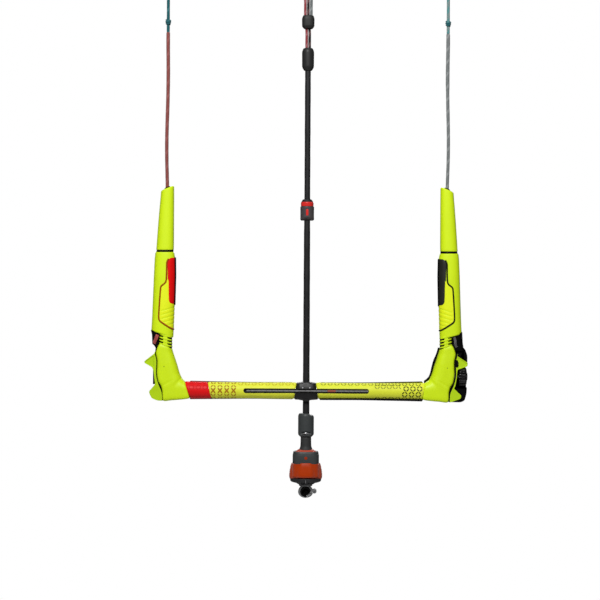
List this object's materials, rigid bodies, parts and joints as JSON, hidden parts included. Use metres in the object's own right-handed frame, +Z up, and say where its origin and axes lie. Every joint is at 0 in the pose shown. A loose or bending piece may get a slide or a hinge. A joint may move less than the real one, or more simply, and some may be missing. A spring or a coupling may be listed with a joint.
{
  "type": "kite control bar",
  "caption": "Kitesurf control bar with sheathed depower line, push-away release, swivel, stopper, trim knob, floats and leader lines.",
  "frame": {"origin": "centre of the eye under the release, where the harness loop is fastened", "axes": "+X along the bar to the side with the trim knob, +Z up the depower line towards the kite, -Y out of the bar's front, where the trim mark shows"},
  "size_m": [0.5162, 0.042, 0.8563],
  "materials": {
    "housing_grey": "moulded, fine grain",
    "collar_orange": "satin moulded",
    "base_dark": "moulded",
    "sleeve_orange": "faceted rubbery moulding",
    "spring_steel": "drawn wire",
    "boot_rubber": "matte",
    "stainless": "satin",
    "liner_black": "smooth",
    "line_sheath": "smooth flexible tube",
    "cover_black": "satin",
    "line_red": "braided",
    "line_black": "braided",
    "line_grey": "braided",
    "line_teal": "braided",
    "stopper_grey": "moulded",
    "stopper_red": "moulded",
    "block_black": "moulded, fine grain",
    "tube_aluminium": "anodised",
    "grip_yellow": "moulded foam with small relief marks",
    "grip_red": "moulded foam",
    "screw_steel": "turned",
    "end_yellow": "moulded, fine grain",
    "spool_grey": "moulded",
    "float_yellow": "moulded foam",
    "float_liner": "smooth"
  },
  "bodies": {
    "release": {"release_housing": "housing_grey", "release_collar": "collar_orange", "release_base": "base_dark", "release_spring": "spring_steel", "swivel_boot": "boot_rubber", "swivel_stem": "stainless", "eye_stud": "stainless", "eye_hook": "stainless", "eye_liner": "liner_black", "gate_pin": "stainless"},
    "sleeve": {"release_sleeve": "sleeve_orange"},
    "gate": {"eye_gate": "stainless"},
    "line_head": {"swivel_housing": "housing_grey", "depower_line": "line_sheath", "junction_cover": "cover_black", "split_cover": "cover_black", "red_front_line": "line_red", "black_safety_line": "line_black", "grey_front_line": "line_grey"},
    "stopper": {"stopper_body": "stopper_grey", "stopper_spring": "spring_steel"},
    "stopper_trigger": {"stopper_ring": "stopper_red"},
    "bushing": {"line_bushing": "stainless"},
    "bar": {"centre_block": "block_black", "bar_tubes": "tube_aluminium", "left_grip": "grip_yellow", "red_grip_band": "grip_red", "right_grip": "grip_yellow", "slot_liner": "liner_black", "trim_line": "line_grey", "bar_screws": "screw_steel", "left_bar_end": "end_yellow", "left_end_core": "liner_black", "left_winding_post": "end_yellow", "right_bar_end": "end_yellow", "right_back_cover": "block_black", "right_end_core": "liner_black", "right_winding_post": "end_yellow", "trim_housing": "block_black", "trim_axle": "stainless", "click_spring": "spring_steel", "left_neck": "float_yellow", "left_boot": "boot_rubber", "right_neck": "float_yellow", "right_boot": "boot_rubber"},
    "knob": {"trim_knob": "block_black", "trim_spool": "spool_grey", "button_spring": "spring_steel"},
    "button": {"trim_button": "block_black"},
    "mark": {"trim_mark": "stopper_red"},
    "left_float": {"left_float_lower": "float_yellow", "left_float_upper": "float_yellow", "left_float_sleeve": "float_liner", "left_leader_line": "line_red", "left_pigtail": "line_teal"},
    "right_float": {"right_float_lower": "float_yellow", "right_float_upper": "float_yellow", "right_float_sleeve": "float_liner", "right_leader_line": "line_grey", "right_pigtail": "line_teal"}
  },
  "joints": [
    {"name": "sleeve_slide", "type": "slide", "parent": "release", "child": "sleeve", "axis": [0, 0, 1], "range_m": [0, 0.012], "stiffness_N_per_m": 2000, "springref_m": -0.002, "deforming": ["release_spring"]},
    {"name": "gate_hinge", "type": "hinge", "parent": "release", "child": "gate", "pos_m": [0.014, 0, 0.0015], "axis": [0, -1, 0], "range_deg": [0, 75]},
    {"name": "swivel", "type": "hinge", "parent": "release", "child": "line_head", "pos_m": [0, 0, 0.1], "axis": [0, 0, 1], "continuous": true},
    {"name": "stopper_slide", "type": "slide", "parent": "line_head", "child": "stopper", "axis": [0, 0, 1], "range_m": [-0.02, 0.2]},
    {"name": "stopper_press", "type": "slide", "parent": "stopper", "child": "stopper_trigger", "axis": [0, 0, -1], "range_m": [0, 0.0025], "stiffness_N_per_m": 1500, "springref_m": -0.001, "deforming": ["stopper_spring"]},
    {"name": "bar_slide", "type": "slide", "parent": "line_head", "child": "bushing", "axis": [0, 0, 1], "range_m": [-0.012, 0.225]},
    {"name": "bar_steer", "type": "hinge", "parent": "bushing", "child": "bar", "pos_m": [0, 0, 0.162], "axis": [0, 1, 0], "range_deg": [-25, 25]},
    {"name": "left_float_hinge", "type": "hinge", "parent": "bar", "child": "left_float", "pos_m": [-0.224, 0, 0.242], "axis": [0, 1, 0], "range_deg": [-25, 25], "deforming": ["left_neck", "left_boot"]},
    {"name": "right_float_hinge", "type": "hinge", "parent": "bar", "child": "right_float", "pos_m": [0.224, 0, 0.242], "axis": [0, 1, 0], "range_deg": [-25, 25], "deforming": ["right_neck", "right_boot"]},
    {"name": "trim_turn", "type": "hinge", "parent": "bar", "child": "knob", "pos_m": [0.2356, 0, 0.186], "axis": [1, 0, 0], "range_deg": [-135, 315]},
    {"name": "mark_slide", "type": "slide", "parent": "bar", "child": "mark", "axis": [1, 0, 0], "range_m": [-0.0189, 0.0441]},
    {"name": "button_press", "type": "slide", "parent": "knob", "child": "button", "axis": [-1, 0, 0], "range_m": [0, 0.0025], "stiffness_N_per_m": 900, "springref_m": -0.001, "deforming": ["button_spring"]}
  ],
  "couplings": [
    {"joint": "gate_hinge", "follows": "sleeve_slide", "rad_per_m": 109},
    {"joint": "left_float_hinge", "follows": "bar_steer", "ratio": -1},
    {"joint": "right_float_hinge", "follows": "bar_steer", "ratio": -1},
    {"joint": "mark_slide", "follows": "trim_turn", "m_per_rad": 0.008}
  ]
}
